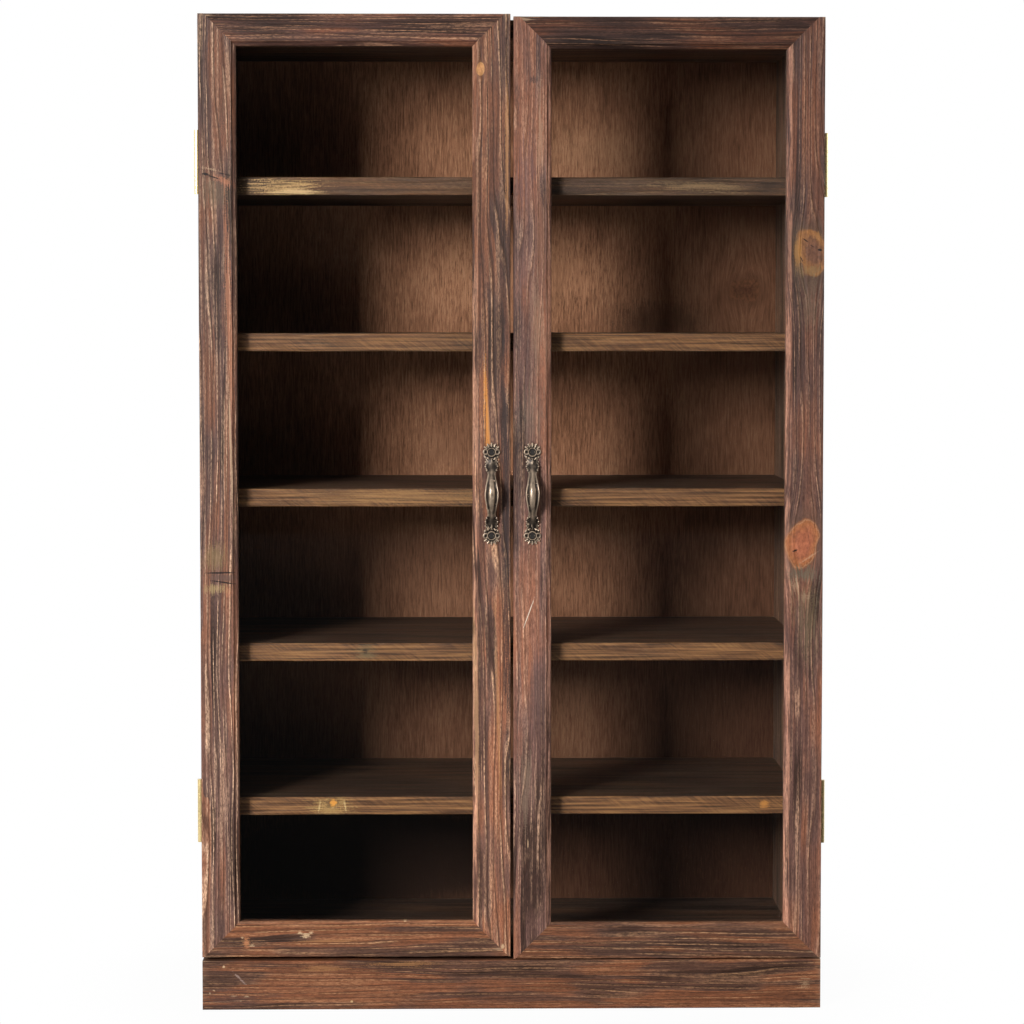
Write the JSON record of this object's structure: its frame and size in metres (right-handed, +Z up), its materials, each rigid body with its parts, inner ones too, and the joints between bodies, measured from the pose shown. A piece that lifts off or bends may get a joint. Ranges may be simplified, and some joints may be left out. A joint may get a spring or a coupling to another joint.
{
  "type": "display cabinet",
  "caption": "Tall rustic wooden display cabinet with a pair of glazed doors on butt hinges, fixed shelves, a plywood back and cast shell-ended pull handles.",
  "frame": {"origin": "on the floor, in the middle of the width and of the whole depth with the handles", "axes": "+X to the right seen from the front, +Y from the doors to the back, +Z up"},
  "size_m": [0.636, 0.3206, 1],
  "materials": {
    "stained_wood": "dark stained, brushed",
    "shelf_wood": "stained, sawn",
    "plywood": "reddish stained plywood",
    "clear_glass": "clear float glass",
    "antique_bronze": "antiqued casting",
    "polished_brass": "polished",
    "brass_screws": "plated",
    "zinc_steel": "zinc plated",
    "brown_plastic": "moulded",
    "magnet": "sintered"
  },
  "bodies": {
    "case": {"back_panel": "plywood", "bottom_board": "stained_wood", "case_leaf_screws": "brass_screws", "catch_screws": "zinc_steel", "left_catch_case": "brown_plastic", "left_catch_magnet": "magnet", "left_lower_case_leaf": "polished_brass", "left_lower_hinge_pin": "polished_brass", "left_upper_case_leaf": "polished_brass", "left_upper_hinge_pin": "polished_brass", "plinth_board": "stained_wood", "right_catch_case": "brown_plastic", "right_catch_magnet": "magnet", "right_lower_case_leaf": "polished_brass", "right_lower_hinge_pin": "polished_brass", "right_upper_case_leaf": "polished_brass", "right_upper_hinge_pin": "polished_brass", "shelf_1": "shelf_wood", "shelf_2": "shelf_wood", "shelf_3": "shelf_wood", "shelf_4": "shelf_wood", "shelf_5": "shelf_wood", "side_left": "stained_wood", "side_right": "stained_wood", "top_board": "stained_wood"},
    "left_door": {"left_bottom_rail": "stained_wood", "left_door_leaf_screws": "brass_screws", "left_glass": "clear_glass", "left_glazing_beads": "stained_wood", "left_handle": "antique_bronze", "left_handle_screws": "antique_bronze", "left_hinge_stile": "stained_wood", "left_lower_door_leaf": "polished_brass", "left_meeting_stile": "stained_wood", "left_mitre_splines": "stained_wood", "left_strike_plate": "zinc_steel", "left_strike_screw": "zinc_steel", "left_top_rail": "stained_wood", "left_upper_door_leaf": "polished_brass"},
    "right_door": {"right_bottom_rail": "stained_wood", "right_door_leaf_screws": "brass_screws", "right_glass": "clear_glass", "right_glazing_beads": "stained_wood", "right_handle": "antique_bronze", "right_handle_screws": "antique_bronze", "right_hinge_stile": "stained_wood", "right_lower_door_leaf": "polished_brass", "right_meeting_stile": "stained_wood", "right_mitre_splines": "stained_wood", "right_strike_plate": "zinc_steel", "right_strike_screw": "zinc_steel", "right_top_rail": "stained_wood", "right_upper_door_leaf": "polished_brass"}
  },
  "joints": [
    {"name": "left_door_hinge", "type": "hinge", "parent": "case", "child": "left_door", "pos_m": [-0.3154, -0.12025, 0.527], "axis": [0, 0, -1], "range_deg": [0, 180]},
    {"name": "right_door_hinge", "type": "hinge", "parent": "case", "child": "right_door", "pos_m": [0.3154, -0.12025, 0.5245], "axis": [0, 0, 1], "range_deg": [0, 180]}
  ]
}
